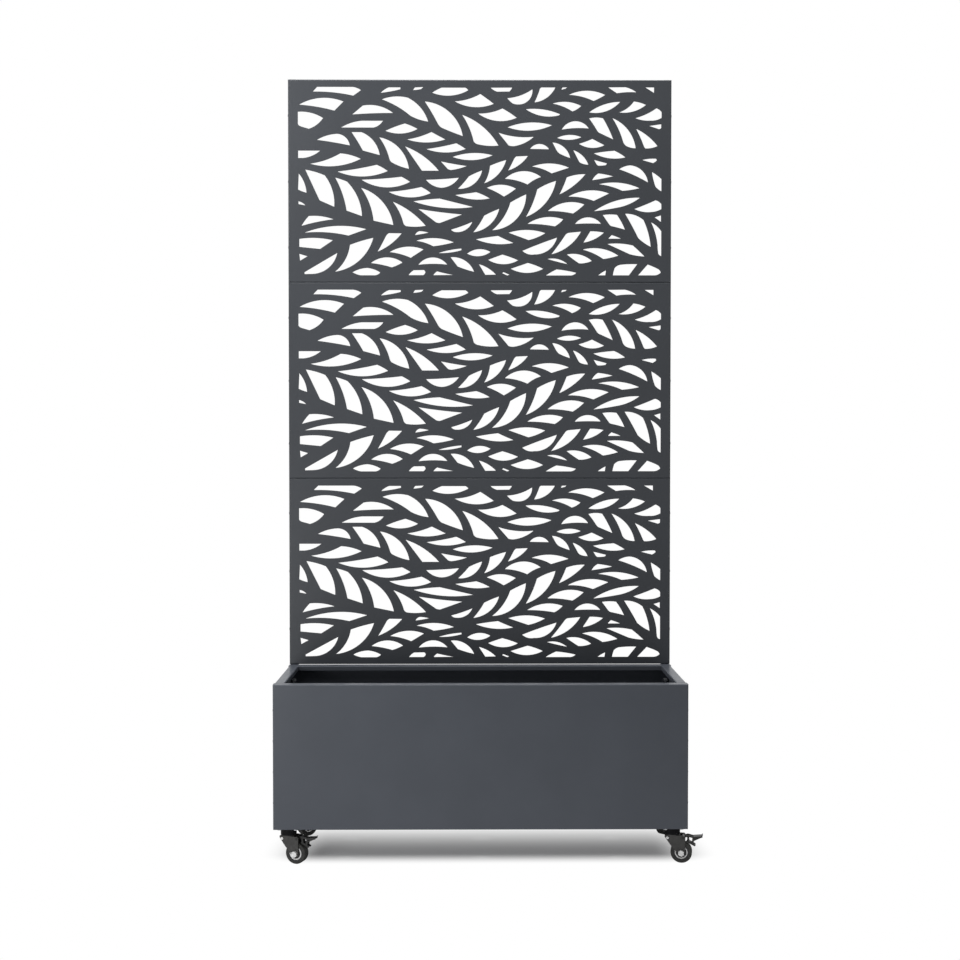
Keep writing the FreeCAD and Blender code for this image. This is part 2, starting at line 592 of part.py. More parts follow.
def long_wall():
    """The front wall: a face with corner flanges, a hemmed rim and a flange under the floor."""
    front = -half_depth
    folded = prism([
        (-half_width, front + corner_flange, 0), (-half_width, front, bend_outer),
        (half_width, front, bend_outer), (half_width, front + corner_flange, 0),
        (half_width - sheet, front + corner_flange, 0), (half_width - sheet, front + sheet, bend_inner),
        (-half_width + sheet, front + sheet, bend_inner), (-half_width + sheet, front + corner_flange, 0),
    ], "xy", ride_height, rim_z)
    rounded = prism([
        (front, ride_height, bend_outer), (front + corner_flange, ride_height, 0),
        (front + corner_flange, rim_z, 0), (front, rim_z, bend_outer),
    ], "yz", -half_width, half_width)
    inner = front + rim_width
    rim = prism([
        (front, rim_z - rim_return, 0), (front, rim_z, bend_outer), (inner, rim_z, bend_outer),
        (inner, rim_z - rim_return, 0), (inner - sheet, rim_z - rim_return, 0),
        (inner - sheet, rim_z - sheet, bend_inner), (front + sheet, rim_z - sheet, bend_inner),
        (front + sheet, rim_z - rim_return, 0),
    ], "yz", -half_width, half_width)
    corners = prism([
        (-half_width, front, bend_outer), (half_width, front, bend_outer),
        (half_width, 0, 0), (-half_width, 0, 0),
    ], "xy", ride_height, rim_z)
    for side in (-1, 1):
        ends = sorted((side * half_width, side * (half_width - rim_width)))
        rim = rim.cut(block(ends[0], ends[1], front + sheet, 0, ride_height, rim_z - sheet))
    under = prism([
        (front, ride_height + floor_flange, 0), (front, ride_height, bend_outer),
        (front + floor_flange, ride_height, 0), (front + floor_flange, ride_height + sheet, 0),
        (front + sheet, ride_height + sheet, bend_inner), (front + sheet, ride_height + floor_flange, 0),
    ], "yz", -floor_flange_x, floor_flange_x)
    wall = fused([folded.common(rounded), rim.common(corners), under])
    holes = []
    for z in corner_screw_z:
        ends = [Vector(x, -corner_screw_y, z) for x in (-box_width, box_width)]
        holes.append(rod(m5_hole, ends[0], ends[1]))
    for x in floor_screw_x:
        ends = [Vector(x, -floor_screw_y, z) for z in (0, ride_height + overrun)]
        holes.append(rod(m5_hole, ends[0], ends[1]))
    return wall.cut(Part.makeCompound(holes))


def rear_wall():
    """The back wall is the front wall turned round, with holes for the uprights' bolts."""
    holes = []
    for side in (-1, 1):
        for z in foot_bolt_z:
            holes.append(rod(m6_hole, Vector(side * upright_x, 0, z), Vector(side * upright_x, box_depth, z)))
    return mirrored_y(long_wall()).cut(Part.makeCompound(holes))


def end_wall():
    """The left wall: a face with a rim between the long rims and a wide flange for the casters."""
    face_x = -half_width + sheet
    reach_y = wall_inner_y - bend_inner
    inner = -half_width + rim_width
    face = prism([
        (face_x, rim_z - bend_outer, 0), (face_x, ride_height, bend_outer),
        (face_x + end_flange, ride_height, 0), (face_x + end_flange, ride_height + sheet, 0),
        (face_x + sheet, ride_height + sheet, bend_inner), (face_x + sheet, rim_z - bend_outer, 0),
    ], "xz", -reach_y, reach_y)
    rim_y = half_depth - rim_width
    rim = prism([
        (face_x, rim_z - rim_return, 0), (face_x, rim_z, bend_outer), (inner, rim_z, bend_outer),
        (inner, rim_z - rim_return, 0), (inner - sheet, rim_z - rim_return, 0),
        (inner - sheet, rim_z - sheet, bend_inner), (face_x + sheet, rim_z - sheet, bend_inner),
        (face_x + sheet, rim_z - rim_return, 0),
    ], "xz", -rim_y, rim_y)
    holes = [rod(m5_hole, Vector(-box_width, side * corner_screw_y, z), Vector(0, side * corner_screw_y, z))
             for side in (-1, 1) for z in corner_screw_z]
    for side in (-1, 1):
        for x, y in plate_holes:
            foot = Vector(-swivel_x + x, side * swivel_y + y, 0)
            holes.append(rod(m6_hole, foot, foot + Vector(0, 0, ride_height + overrun)))
    return fused([face, rim]).cut(Part.makeCompound(holes))


def floor_pan():
    """The planter's floor: a shallow tray with drain holes that lies on the walls' flanges."""
    low = ride_height + sheet
    high = low + pan_edge
    outer = prism([
        (-wall_inner_x, -wall_inner_y, bend_outer), (wall_inner_x, -wall_inner_y, bend_outer),
        (wall_inner_x, wall_inner_y, bend_outer), (-wall_inner_x, wall_inner_y, bend_outer),
    ], "xy", low, high)
    outer = outer.common(prism([
        (-wall_inner_x, low, bend_outer), (wall_inner_x, low, bend_outer),
        (wall_inner_x, high, 0), (-wall_inner_x, high, 0),
    ], "xz", -half_depth, half_depth))
    outer = outer.common(prism([
        (-wall_inner_y, low, bend_outer), (wall_inner_y, low, bend_outer),
        (wall_inner_y, high, 0), (-wall_inner_y, high, 0),
    ], "yz", -half_width, half_width))
    room_x = wall_inner_x - sheet
    room_y = wall_inner_y - sheet
    hollow = prism([
        (-room_x, -room_y, bend_inner), (room_x, -room_y, bend_inner),
        (room_x, room_y, bend_inner), (-room_x, room_y, bend_inner),
    ], "xy", floor_top, high + overrun)
    rows = row(2, box_depth - 2 * drain_inset_y)
    spots = [(x, y, drain_radius) for x in row(3, half_width - drain_inset_x) for y in rows]
    spots += [(x, side * floor_screw_y, m5_hole) for x in floor_screw_x for side in (-1, 1)]
    spots += [(side_x * swivel_x + x, side_y * swivel_y + y, m6_hole)
              for name, side_x, side_y, turn in casters for x, y in plate_holes]
    holes = [rod(radius, Vector(x, y, 0), Vector(x, y, high)) for x, y, radius in spots]
    return outer.cut(hollow).cut(Part.makeCompound(holes))


def planter_fasteners():
    """Corner screws and nuts, floor screws and nuts, and the casters' bolts and nuts."""
    corner_screws = []
    corner_nuts = []
    for side_x in (-1, 1):
        for side_y in (-1, 1):
            for z in corner_screw_z:
                seat = Vector(side_x * half_width, side_y * corner_screw_y, z)
                nut_seat = Vector(side_x * wall_inner_x, side_y * corner_screw_y, z)
                far = nut_seat - Vector(side_x * m5_nut, 0, 0)
                corner_screws.append(pan_screw(seat, far - Vector(side_x * bolt_tail, 0, 0)))
                corner_nuts.append(hex_nut(m5_radius, m5_flats, nut_seat, far))
    floor_screws = []
    floor_nuts = []
    for side_y in (-1, 1):
        for x in floor_screw_x:
            seat = Vector(x, side_y * floor_screw_y, ride_height)
            nut_seat = Vector(x, side_y * floor_screw_y, floor_top)
            far = nut_seat + Vector(0, 0, m5_nut)
            floor_screws.append(pan_screw(seat, far + Vector(0, 0, bolt_tail)))
            floor_nuts.append(hex_nut(m5_radius, m5_flats, nut_seat, far))
    caster_bolts = []
    caster_nuts = []
    for name, side_x, side_y, turn in casters:
        for x, y in plate_holes:
            seat = Vector(side_x * swivel_x + x, side_y * swivel_y + y, plate_z)
            nut_seat = Vector(seat.x, seat.y, floor_top)
            far = nut_seat + Vector(0, 0, m6_nut)
            caster_bolts.append(hex_bolt(m6_radius, m6_flats, m6_head, seat, far + Vector(0, 0, bolt_tail)))
            caster_nuts.append(hex_nut(m6_radius, m6_flats, nut_seat, far))
    save("corner_screws", corner_screws)
    save("corner_nuts", corner_nuts)
    save("floor_screws", floor_screws)
    save("floor_nuts", floor_nuts)
    save("caster_bolts", caster_bolts)
    save("caster_nuts", caster_nuts)


# Caster, drawn about its swivel axis with the wheel trailing towards +X

head_low_z = plate_z - head_height
crown_low_z = crown_z - crown_thickness


def from_axle(x, z):
    """A place given from the axle, in the caster's XZ plane."""
    return (trail + x, wheel_radius + z)


def across(radius, spot, reach_back_y, reach_front_y):
    """A round solid along Y at a place in the caster's XZ plane."""
    return rod(radius, Vector(spot[0], reach_back_y, spot[1]), Vector(spot[0], reach_front_y, spot[1]))


axle_spot = from_axle(0, 0)
pin_spot = from_axle(pin_x, pin_z)
rivet_spot = from_axle(-rivet_x, rivet_z)


def caster_plate():
    """The square top plate with the upper cup of the swivel head."""
    reach = plate_size / 2
    plate = prism([(-reach, -reach, plate_corner), (reach, -reach, plate_corner),
                   (reach, reach, plate_corner), (-reach, reach, plate_corner)], "xy", plate_z, ride_height)
    cup = rod(head_radius, Vector(0, 0, head_low_z), Vector(0, 0, plate_z))
    over = ride_height + overrun
    holes = [rod(m6_hole, Vector(x, y, head_low_z), Vector(x, y, over)) for x, y in plate_holes]
    holes.append(rod(kingpin_radius + thread_clearance, Vector(0, 0, 0), Vector(0, 0, ride_height + overrun)))
    return fused([plate, cup]).cut(Part.makeCompound(holes))


def kingpin():
    """The pin that the fork turns on, headed below the fork's crown."""
    seat_z = crown_low_z - head_gap
    head = rod(kingpin_head_radius, Vector(0, 0, seat_z - kingpin_head), Vector(0, 0, seat_z))
    return fused([head, rod(kingpin_radius, Vector(0, 0, seat_z), Vector(0, 0, ride_height))])


def fork():
    """Two pressed side plates under a crown, with the lower cup of the swivel head."""
    side_plates = []
    drawn = [(-fork_front_reach, fork_crown_rise, fork_corner),
             (fork_rear_reach, fork_crown_rise, fork_corner),
             (fork_boss_radius, 0, 0), (-fork_boss_radius, 0, 0),
             (-fork_shoulder_x, fork_shoulder_z, fork_corner)]
    corners = [from_axle(x, z) + (radius,) for x, z, radius in drawn]
    for side in (-1, 1):
        ends = sorted((side * fork_inner_y, side * fork_outer_y))
        side_plates.append(prism(corners, "xz", ends[0], ends[1]))
        side_plates.append(across(fork_boss_radius, axle_spot, ends[0], ends[1]))
    crown_end = trail - fork_front_reach + fork_corner
    crown = block(crown_end, head_radius, -fork_outer_y, fork_outer_y, crown_low_z, crown_z)
    cup = rod(crown_cup_radius, Vector(0, 0, crown_z), Vector(0, 0, head_low_z - head_gap))
    holes = [rod(kingpin_radius + swivel_clearance, Vector(0, 0, crown_low_z), Vector(0, 0, ride_height))]
    for radius, spot in ((axle_radius, axle_spot), (pin_radius, pin_spot), (rivet_radius, rivet_spot)):
        holes.append(across(radius + thread_clearance, spot, -fork_outer_y, fork_outer_y))
    return fused(side_plates + [crown, cup]).cut(Part.makeCompound(holes))


def axle():
    """The axle bolt with its nut."""
    seat = Vector(axle_spot[0], -fork_outer_y, axle_spot[1])
    nut_seat = Vector(axle_spot[0], fork_outer_y, axle_spot[1])
    far = nut_seat + Vector(0, axle_head, 0)
    bolt = hex_bolt(axle_radius, axle_flats, axle_head, seat, far + Vector(0, bolt_tail, 0))
    return [bolt, hex_nut(axle_radius, axle_flats, nut_seat, far)]


def headed_pin(spot, radius, wide, head):
    """A pin through both side plates with a head at each end."""
    shank = across(radius, spot, -fork_outer_y, fork_outer_y)
    heads = [across(wide, spot, side * fork_outer_y, side * (fork_outer_y + head)) for side in (-1, 1)]
    return fused([shank] + heads)


def tyre():
    """The tread ring with its rounded shoulders."""
    half = wheel_width / 2
    inner = wheel_radius - tyre_thickness
    face = Part.Face(outline([
        (inner, -half, 0), (wheel_radius, -half, tread_radius),
        (wheel_radius, half, tread_radius), (inner, half, 0),
    ], "xy", 0))
    ring = face.revolve(Vector(0, 0, 0), Vector(0, 1, 0), 360)
    ring.translate(Vector(axle_spot[0], 0, axle_spot[1]))
    return ring


def wheel_core():
    """The dished wheel centre and its hub, which runs on the axle."""
    rim_radius = wheel_radius - tyre_thickness - tyre_fit
    half = wheel_width / 2
    hub_half = fork_inner_y - hub_side_gap
    body = across(rim_radius, axle_spot, -half, half)
    for side in (-1, 1):
        body = body.cut(across(rim_radius - core_rim, axle_spot, side * half, side * (half - core_dish)))
    hub = across(hub_radius, axle_spot, -hub_half, hub_half)
    bore = across(axle_radius + axle_clearance, axle_spot, -fork_outer_y, fork_outer_y)
    return fused([body, hub]).cut(bore)


def brake_pedal():
    """The lever: two cheeks on a bushed eye, with a foot plate, a release tab and a shoe over the tread."""
    outer = lever_half_width
    inner = outer - lever_plate
    bush = fork_inner_y - lever_side_gap
    bend = from_axle(lever_bend_x, lever_bend_z)
    root = from_axle(pedal_root_x, pedal_root_z)
    tip = from_axle(pedal_tip_x, pedal_tip_z)
    toe = from_axle(pedal_toe_x, pedal_toe_z)
    tab = from_axle(tab_x, tab_z)
    shoe_turn = math.atan2(shoe_z, shoe_x)
    shoe_low = wheel_radius + shoe_gap
    shoe_middle = shoe_low + shoe_height / 2
    shoe = from_axle(shoe_middle * math.cos(shoe_turn), shoe_middle * math.sin(shoe_turn))
    strut = ((shoe[0] + 2 * tab[0]) / 3, (shoe[1] + 2 * tab[1]) / 3)
    rib = ((root[0] + strut[0]) / 2, (root[1] + strut[1]) / 2)
    pieces = [across(lever_eye_radius, pin_spot, -bush, bush)]
    for side in (-1, 1):
        y0, y1 = sorted((side * inner, side * outer))
        for first, second in ((pin_spot, bend), (bend, root), (root, tip),
                              (bend, shoe), (root, strut), (shoe, tab)):
            pieces.append(link(first, second, lever_bar, y0, y1))
        pieces.append(link(rib, tip, pedal_rib, y0, y1))
    rise = (lever_bar - pedal_plate) / 2
    foot = [(spot[0], spot[1] + rise) for spot in (root, tip)]
    pieces.append(link(foot[0], foot[1], pedal_plate, -pedal_half_width, pedal_half_width))
    pieces.append(link(foot[1], toe, pedal_plate, -pedal_half_width, pedal_half_width))
    pieces.append(link(strut, tab, pedal_plate, -outer, outer))
    ring = across(shoe_low + shoe_height, axle_spot, -outer, outer)
    ring = ring.cut(across(shoe_low, axle_spot, -outer, outer))
    far = from_axle(wheel_diameter * math.cos(shoe_turn), wheel_diameter * math.sin(shoe_turn))
    pieces.append(ring.common(link(axle_spot, far, 2 * shoe_half_length, -outer, outer)))
    return fused(pieces).cut(across(pin_radius + pin_clearance, pin_spot, -fork_outer_y, fork_outer_y))


def caster(name, side_x, side_y, turn):
    """One caster, turned about its swivel axis and set under its corner of the planter."""
    def set_in_place(shapes, turned):
        placed = []
        for shape in shapes:
            shape = shape.copy()
            if turned:
                shape.rotate(Vector(0, 0, 0), Vector(0, 0, 1), turn)
            shape.translate(Vector(side_x * swivel_x, side_y * swivel_y, 0))
            placed.append(shape)
        return placed
    for node, shapes, turned in (
            ("caster_plate", [caster_plate()], False), ("kingpin", [kingpin()], False),
            ("fork", [fork()], True), ("axle", axle(), True),
            ("brake_pin", [headed_pin(pin_spot, pin_radius, pin_head_radius, pin_head)], True),
            ("tie_rivet", [headed_pin(rivet_spot, rivet_radius, rivet_head_radius, rivet_head)], True),
            ("tyre", [tyre()], True), ("wheel_core", [wheel_core()], True),
            ("brake_pedal", [brake_pedal()], True)):
        save(name + "_" + node, set_in_place(shapes, turned))


# Write every piece

os.makedirs("parts", exist_ok=True)

for (bottom, height), node in zip(panels, ("lower_leaf_panel", "middle_leaf_panel", "upper_leaf_panel")):
    save(node, [leaf_panel(bottom, height)])

all_caps = []
for side, node in ((-1, "left_upright"), (1, "right_upright")):
    tube, caps = upright(side)
    save(node, [tube])
    all_caps += caps
save("upright_caps", all_caps)
screen_fasteners()

save("planter_front_wall", [long_wall()])
save("planter_rear_wall", [rear_wall()])
save("planter_left_wall", [end_wall()])
save("planter_right_wall", [mirrored_x(end_wall())])
save("planter_floor", [floor_pan()])
planter_fasteners()

for name, side_x, side_y, turn in casters:
    caster(name, side_x, side_y, turn)
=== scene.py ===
"""Leaf-cut privacy screen on a rolling planter: finishes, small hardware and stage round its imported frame.

Everything is in metres in the frame's own axes: +Z up, the screen faces -Y.
"""

import json
import math

import bpy
from bpy.props import FloatProperty, FloatVectorProperty, IntProperty, PointerProperty
from bpy.types import Operator, Panel, PropertyGroup
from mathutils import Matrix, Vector


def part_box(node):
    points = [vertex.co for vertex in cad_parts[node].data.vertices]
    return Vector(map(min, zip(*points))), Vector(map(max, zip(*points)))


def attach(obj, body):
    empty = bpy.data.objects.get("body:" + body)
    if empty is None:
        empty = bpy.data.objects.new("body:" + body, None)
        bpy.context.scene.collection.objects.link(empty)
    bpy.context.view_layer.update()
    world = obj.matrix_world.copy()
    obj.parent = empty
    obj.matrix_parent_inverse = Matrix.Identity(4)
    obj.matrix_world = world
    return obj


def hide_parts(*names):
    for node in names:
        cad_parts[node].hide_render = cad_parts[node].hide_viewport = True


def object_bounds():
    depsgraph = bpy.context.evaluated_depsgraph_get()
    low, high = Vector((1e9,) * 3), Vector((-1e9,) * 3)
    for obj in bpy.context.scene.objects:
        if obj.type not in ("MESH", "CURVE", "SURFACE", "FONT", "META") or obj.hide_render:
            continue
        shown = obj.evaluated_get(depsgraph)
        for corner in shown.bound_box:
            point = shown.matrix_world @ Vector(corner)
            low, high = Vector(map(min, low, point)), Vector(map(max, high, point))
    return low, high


bl_info = {
    "name": "Leaf Privacy Screen",
    "version": (1, 0, 0),
    "blender": (4, 5, 0),
    "location": "3D View > Sidebar > Screen",
    "description": "Dresses the rolling leaf-cut privacy screen and sets its studio",
    "category": "Object",
}

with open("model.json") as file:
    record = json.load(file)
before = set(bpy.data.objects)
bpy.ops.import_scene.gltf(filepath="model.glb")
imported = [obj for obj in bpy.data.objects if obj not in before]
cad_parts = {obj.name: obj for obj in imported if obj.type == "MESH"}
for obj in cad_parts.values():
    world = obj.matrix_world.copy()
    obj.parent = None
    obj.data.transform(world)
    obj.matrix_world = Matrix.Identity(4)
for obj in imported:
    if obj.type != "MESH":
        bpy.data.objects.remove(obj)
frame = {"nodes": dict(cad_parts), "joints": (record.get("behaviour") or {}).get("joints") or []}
cad_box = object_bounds()

CASTERS = ("front_left", "front_right", "rear_left", "rear_right")
PANELS = ("lower_leaf_panel", "middle_leaf_panel", "upper_leaf_panel")
SCREEN_NODES = PANELS + ("left_upright", "right_upright")
PLANTER_NODES = ("planter_front_wall", "planter_rear_wall", "planter_left_wall", "planter_right_wall",
                 "planter_floor")
ZINC_NODES = ("seam_bolts", "seam_nuts", "foot_bolts", "foot_nuts", "corner_nuts", "floor_screws",
              "floor_nuts", "caster_bolts", "caster_nuts")

# How finely the small hardware is made
HEAD_SEGMENTS = 24
SHANK_SEGMENTS = 16
RING_SEGMENTS = 64
RING_CORNER_SEGMENTS = 4
WELD_DISTANCE = 0.00001

# A pan head's outline from its seat up, each as a share of its radius and of its height
HEAD_OUTLINE = ((1.0, 0.0), (1.0, 0.42), (0.90, 0.72), (0.68, 0.92), (0.30, 1.0))
# A hub ring's corner radius as a share of its height
RING_CORNER = 0.4

# Where a noise's soft middle starts and ends
TINT_STOPS = (0.32, 0.68)
ROUGH_STOPS = (0.3, 0.7)
NOISE_ROUGHNESS = 0.55

WHITE = (1.0, 1.0, 1.0, 1.0)
# How far the camera sees, in metres
VIEW_END = 60.0


def length(name, words, value):
    """A length setting in metres."""
    return FloatProperty(name=name, description=words, default=value, min=0.0, unit="LENGTH", precision=5)


def colour(name, words, value):
    """A colour setting, scene linear."""
    return FloatVectorProperty(name=name, description=words, default=value, size=3, min=0.0, max=1.0,
                               subtype="COLOR")


def share(name, words, value):
    """A setting from 0 to 1."""
    return FloatProperty(name=name, description=words, default=value, min=0.0, max=1.0, subtype="FACTOR")


def count(name, words, value):
    """A whole number of at least two."""
    return IntProperty(name=name, description=words, default=value, min=2)


def place(name, words, value):
    """A place in metres."""
    return FloatVectorProperty(name=name, description=words, default=value, size=3, subtype="TRANSLATION",
                               unit="LENGTH")


def angle(name, words, degrees):
    """An angle, written in degrees."""
    return FloatProperty(name=name, description=words, default=math.radians(degrees), subtype="ANGLE")


def power(name, words, value):
    """A lamp's power in watts."""
    return FloatProperty(name=name, description=words, default=value, unit="POWER")


class ScreenFinishSettings(PropertyGroup):
    """Colours and gloss of the screen's finishes."""

    # The panels and the planter wear one grey paint: the panel copy is darker as painted shade, and the
    # planter copy is lighter as painted light
    shaded_panel_coat: colour("Shaded panel coat", "Grey powder coat on the leaf panels and uprights",
                       (0.0465, 0.0510, 0.0585))
    lit_planter_coat: colour("Lit planter coat", "Grey powder coat on the planter", (0.080, 0.0885, 0.105))
    coat_roughness: share("Coat roughness", "Gloss of the powder coat, 0 is a mirror", 0.42)
    coat_grain: length("Coat grain", "Size of the powder coat's orange peel", 0.0016)
    screw: colour("Screw heads", "Painted heads of the pan screws", (0.052, 0.057, 0.066))
    zinc: colour("Zinc", "Plated bolts and nuts", (0.62, 0.63, 0.64))
    caster_zinc: colour("Caster zinc", "Plated axles, kingpins and rivets of the casters", (0.92, 0.92, 0.90))
    head_steel: colour("Head steel", "Top plates and swivel heads of the casters", (0.008, 0.008, 0.009))
    fork_steel: colour("Fork steel", "Pressed forks", (0.044, 0.043, 0.041))
    pedal_steel: colour("Pedal steel", "Brake pedals and their pins", (0.018, 0.018, 0.017))
    tyre: colour("Tyre", "Tread rubber", (0.021, 0.021, 0.019))
    wheel_core: colour("Wheel core", "Moulded wheel centres", (0.020, 0.020, 0.022))
    # The ring's shape sits in the wheel's dish, and its near-white colour is a painted highlight for the
    # bright glint on the hub
    hub_ring_highlight: colour("Hub ring", "Pale pressed ring on each wheel", (0.96, 0.96, 0.94))
    plug: colour("Tube plug", "Plastic plugs in the uprights", (0.014, 0.014, 0.016))


class ScreenHardwareSettings(PropertyGroup):
    """Sizes of the small hardware that is dressed here."""

    head_radius: length("Head radius", "Radius of a pan screw's head", 0.0045)
    head_height: length("Head height", "Height of a pan screw's head", 0.00159)
    shank_radius: length("Shank radius", "Radius of a pan screw's shank", 0.0025)
    recess_span: length("Recess span", "Length of each arm pair of the cross recess", 0.0046)
    recess_width: length("Recess width", "Width of the cross recess", 0.0010)
    recess_depth: length("Recess depth", "Depth of the cross recess", 0.0009)
    side_screw_end: length("Side screw end", "Panel end to the first side screw", 0.090)
    side_screw_count: count("Side screws", "Side screws on each panel edge", 3)
    side_shank: length("Side shank", "Length of a side screw's shank", 0.009)
    corner_screw_end: length("Corner screw end", "Planter edge to the first corner screw", 0.062)
    corner_screw_count: count("Corner screws", "Screws in each corner", 4)
    corner_shank: length("Corner shank", "Length of a corner screw's shank", 0.009)
    ring_radius: length("Hub ring radius", "Radius at the middle of a hub ring", 0.0139)
    ring_width: length("Hub ring width", "Radial width of a hub ring", 0.0032)
    ring_height: length("Hub ring height", "How far a hub ring stands out of the dish", 0.0022)
    dish_reach: length("Dish reach", "Middle of a wheel to the floor of the dish in its side", 0.0080)


class ScreenStageSettings(PropertyGroup):
    """Camera, floor and lamps."""

    eye: place("Eye", "Camera place", (-0.04395, -3.2940, 0.98808))
    pitch: angle("Pitch", "How far the camera looks down", 1.3256)
    yaw: angle("Yaw", "How far the camera turns to the left", -0.4027)
    lens: FloatProperty(name="Lens", description="Focal length in millimetres", default=50.067, unit="CAMERA")
    floor_span: length("Floor span", "Side of the floor", 9.0)
    floor: colour("Floor", "Pale floor", (0.86, 0.86, 0.87))
    # Painted light: a glow that only the camera sees, lifting the floor's shadow
    painted_shadow_lift: share("Floor lift", "Light that the camera sees in the shadow", 0.13)
    # These fades paint white over the floor's real shadow for the camera, shaping a painted shadow: short in
    # front, long behind
    shade_inset: length("Shade inset", "End of the object to where the shadow starts to fade", 0.11)
    shade_side: length("Side fade", "Length of the fade at the ends", 0.16)
    shade_rear: length("Rear fade", "Length of the fade behind", 0.30)
    shade_front: length("Front fade", "Length of the fade in front", 0.09)
    shade_rear_y: FloatProperty(name="Rear fade start", description="Y where the fade behind starts",
                                default=-0.04, unit="LENGTH")
    shade_front_y: FloatProperty(name="Front fade start", description="Y where the fade in front starts",
                                 default=-0.05, unit="LENGTH")
    key_spot: place("Key place", "Soft lamp at the upper left", (-1.15, -0.85, 2.0))
    key_size: length("Key size", "Side of the key lamp", 0.7)
    key_power: power("Key power", "Power of the key lamp", 13.5)
    low_spot: place("Low place", "Soft lamp low at the left", (-1.35, -2.0, 0.4))
    low_size: length("Low size", "Side of the low lamp", 0.9)
    low_power: power("Low power", "Power of the low lamp", 15.0)
    top_spot: place("Top place", "Soft lamp right above", (-0.1, -0.1, 3.3))
    top_size: length("Top size", "Side of the top lamp", 1.2)
    top_power: power("Top power", "Power of the top lamp", 62.0)
    room: FloatProperty(name="Room light", description="Strength of the even light from all round",
                        default=0.12, min=0.0)


# Shared makers

def node(tree, kind, **inputs):
    """Add a node and set its plain inputs by name."""
    made = tree.nodes.new(kind)
    for name, value in inputs.items():
        made.inputs[name.replace("_", " ")].default_value = value
    return made


def fill(tree, slots, values):
    """Set each input to its number, or link it to its socket."""
    for slot, value in zip(slots, values):
        if isinstance(value, bpy.types.NodeSocket):
            tree.links.new(value, slot)
        else:
            slot.default_value = value


def calc(tree, operation, first, second):
    """A sum on two sockets or numbers."""
    made = tree.nodes.new("ShaderNodeMath")
    made.operation = operation
    fill(tree, made.inputs, (first, second))
    return made.outputs["Value"]


def vector_calc(tree, operation, first, second):
    """A sum on two vectors, each a socket or three numbers."""
    made = tree.nodes.new("ShaderNodeVectorMath")
    made.operation = operation
    fill(tree, made.inputs, (first, second))
    return made.outputs["Vector"]


def mixed(tree, share_socket, first, second):
    """The first shader where the share is 0, the second where it is 1."""
    made = tree.nodes.new("ShaderNodeMixShader")
    fill(tree, made.inputs, (share_socket, first, second))
    return made.outputs["Shader"]


def new_material(name):
    """An empty node material with a principled shader; returns the material, its tree and the shader."""
    made = bpy.data.materials.new(name)
    made.use_nodes = True
    tree = made.node_tree
    return made, tree, tree.nodes["Principled BSDF"]


def object_noise(tree, size, detail, shift=(0.0, 0.0, 0.0)):
    """Noise on Object coordinates with features of about that size in metres."""
    spot = tree.nodes.new("ShaderNodeTexCoord")
    move = tree.nodes.new("ShaderNodeMapping")
    move.inputs["Location"].default_value = shift
    move.inputs["Scale"].default_value = (1.0 / size,) * 3
    noise = node(tree, "ShaderNodeTexNoise", Scale=1.0, Detail=detail, Roughness=NOISE_ROUGHNESS)
    tree.links.new(spot.outputs["Object"], move.inputs["Vector"])
    tree.links.new(move.outputs["Vector"], noise.inputs["Vector"])
    return noise


def tint_between(tree, source, low, high, socket):
    """Blend two colours by a noise and feed the result to a colour socket."""
    ramp = tree.nodes.new("ShaderNodeValToRGB")
    for stop, spot, tint in zip(ramp.color_ramp.elements, TINT_STOPS, (low, high)):
        stop.position = spot
        stop.color = tuple(tint) + (1.0,)
    tree.links.new(source.outputs["Fac"], ramp.inputs["Fac"])
    tree.links.new(ramp.outputs["Color"], socket)


def rough_between(tree, source, low, high, socket):
    """Spread a noise over a range of roughness."""
    spread = node(tree, "ShaderNodeMapRange", From_Min=ROUGH_STOPS[0], From_Max=ROUGH_STOPS[1], To_Min=low,
                  To_Max=high)
    tree.links.new(source.outputs["Fac"], spread.inputs["Value"])
    tree.links.new(spread.outputs["Result"], socket)


def bumped(tree, shader, source, height, strength):
    """Bump a shader by a noise."""
    bump = node(tree, "ShaderNodeBump", Strength=strength, Distance=height)
    tree.links.new(source.outputs["Fac"], bump.inputs["Height"])
    tree.links.new(bump.outputs["Normal"], shader.inputs["Normal"])


def scaled(base, factor):
    """A colour made lighter or darker."""
    return tuple(min(1.0, part * factor) for part in base)


def powder_coat(name, base, roughness, grain):
    """Satin powder coat: orange peel, faint cloudiness, and gloss that wanders a little."""
    made, tree, shader = new_material(name)
    cloud = object_noise(tree, size=0.16, detail=4.0)
    tint_between(tree, cloud, scaled(base, 0.95), scaled(base, 1.05), shader.inputs["Base Color"])
    smear = object_noise(tree, size=0.045, detail=3.0, shift=(3.1, 1.7, 0.4))
    rough_between(tree, smear, roughness - 0.04, roughness + 0.05, shader.inputs["Roughness"])
    peel = object_noise(tree, size=grain, detail=2.0, shift=(0.2, 0.9, 0.5))
    bumped(tree, shader, peel, height=0.00012, strength=0.35)
    shader.inputs["Specular IOR Level"].default_value = 0.10
    shader.inputs["Coat Weight"].default_value = 0.35
    shader.inputs["Coat Roughness"].default_value = 0.26
    return made


def zinc_plate(name, base, metal):
    """Bright zinc plating with a fine spangle and handling marks."""
    made, tree, shader = new_material(name)
    spangle = object_noise(tree, size=0.0022, detail=3.0)
    tint_between(tree, spangle, scaled(base, 0.82), scaled(base, 1.12), shader.inputs["Base Color"])
    marks = object_noise(tree, size=0.0045, detail=4.0, shift=(1.3, 0.2, 2.2))
    rough_between(tree, marks, 0.24, 0.42, shader.inputs["Roughness"])
    bumped(tree, shader, spangle, height=0.00004, strength=0.3)
    shader.inputs["Metallic"].default_value = metal
    return made


